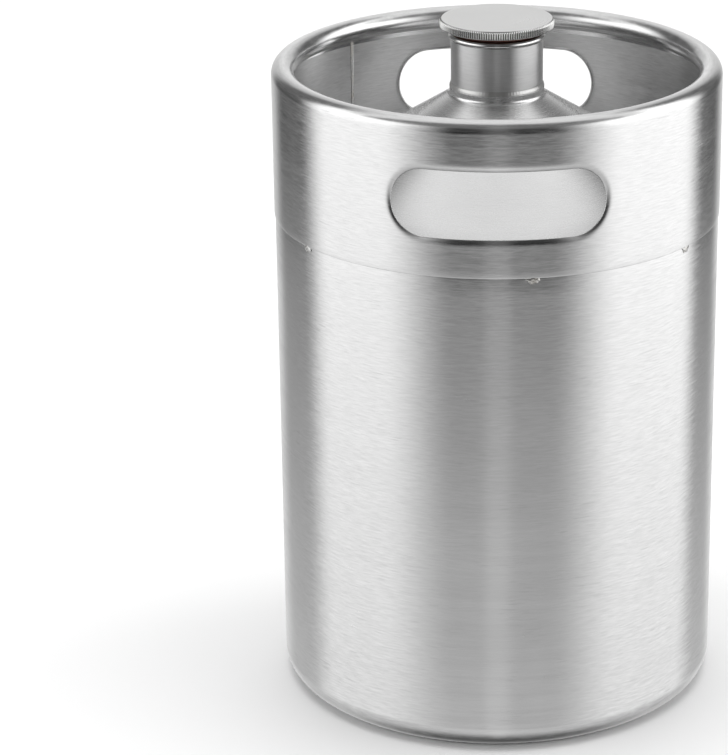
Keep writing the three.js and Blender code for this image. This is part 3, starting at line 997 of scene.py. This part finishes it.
def ceiling(nodes, x, y, z):
    """Where the ceiling is, from 0 to 1, and its level. The dark corners at the back reach up into it."""
    sideways = nodes.math("ABSOLUTE", x)
    corner = nodes.product(nodes.fade(sideways, 0.1, 0.35, 0.0, 1.0), nodes.fade(y, 0.05, 0.25, 0.0, 1.0))
    height = nodes.math("SUBTRACT", z, nodes.product(corner, 0.2))
    cover = nodes.fade(height, 0.5, 0.7, 0.0, 1.0)
    return cover, nodes.fade(y, -0.2, 0.03, CEILING_FRONT, CEILING_BACK)


def ground(nodes, z, share):
    """Where the ground is, from 0 to 1, and its level: brightest in front, dullest below the slots."""
    cover = nodes.add_up(nodes.fade(z, -0.3, -0.33, 0.0, 0.45), nodes.fade(z, -0.34, -0.53, 0.0, 0.55))
    far = nodes.fade(z, -0.48, -0.6, GROUND, 0.78 * GROUND)
    under_keg = nodes.fade(z, -0.7, -1.02, 1.0, 0.13)
    stops = [(0.0, 1.0), (0.35, 0.89), (0.54, 0.89), (0.67, 0.83), (0.8, 0.83), (0.9, 0.89)]
    return cover, nodes.product(far, under_keg, nodes.ramp(share, stops))


def build_world():
    """A soft studio: light side panels, a pale backdrop, a dark front, a ceiling bright at the back."""
    world = bpy.data.worlds.new("studio")
    bpy.context.scene.world = world
    world.use_nodes = True
    nodes = Nodes(world.node_tree)
    x, y, z = nodes.split(nodes.add("ShaderNodeTexCoord").outputs["Generated"])
    azimuth = nodes.math("ARCTAN2", x, nodes.product(y, -1.0))
    turned = nodes.math("SUBTRACT", azimuth, STUDIO_TURN)
    share = nodes.math("DIVIDE", nodes.math("ABSOLUTE", turned), math.pi)
    ceiling_cover, ceiling_level = ceiling(nodes, x, y, z)
    ground_cover, ground_level = ground(nodes, z, share)
    level = nodes.mix_value(ceiling_cover, walls(nodes, x, y, z, share), ceiling_level)
    level = nodes.mix_value(ground_cover, level, ground_level)
    stripe = nodes.fade(nodes.math("ABSOLUTE", azimuth), 0.05, 0.17, STRIPE, 0.0)
    background = nodes.add("ShaderNodeBackground", {"Color": nodes.add_up(level, stripe), "Strength": 1.0})
    nodes.add("ShaderNodeOutputWorld", {"Surface": background.outputs[0]})


def build_lights():
    """A large overhead softbox for the floor; the ceiling of the world stands for it in the steel."""
    light = bpy.data.lights.new("overhead_softbox", "AREA")
    light.shape = "DISK"
    light.size = 2.4
    light.energy = 35
    lamp = bpy.data.objects.new("overhead_softbox", light)
    lamp.location = (0, 0, 2.4)
    lamp.visible_camera = False
    lamp.visible_glossy = False
    bpy.context.scene.collection.objects.link(lamp)


def build_camera():
    """A long lens from a little above, with the keg set to the right of the picture's middle."""
    elevation = math.radians(20.82)
    distance = 1.2228
    aim = Vector((0, 0, 0.1226))
    data = bpy.data.cameras.new("camera")
    data.lens = 153.3
    data.sensor_width = 36
    data.shift_x = -0.176
    data.shift_y = -0.019
    camera = bpy.data.objects.new("camera", data)
    level = distance * math.cos(elevation)
    height = distance * math.sin(elevation)
    camera.location = aim + Vector((-level * math.sin(KEG_TURN), -level * math.cos(KEG_TURN), height))
    camera.rotation_euler = (math.pi / 2 - elevation, 0, -KEG_TURN)
    bpy.context.scene.collection.objects.link(camera)
    bpy.context.scene.camera = camera


build_wall()
build_dish()
build_shoulder()
build_welds()
build_collar()
build_neck()
build_cap()
build_seal()
build_floor()
build_world()
build_lights()
build_camera()
bpy.context.scene.view_settings.view_transform = "Standard"
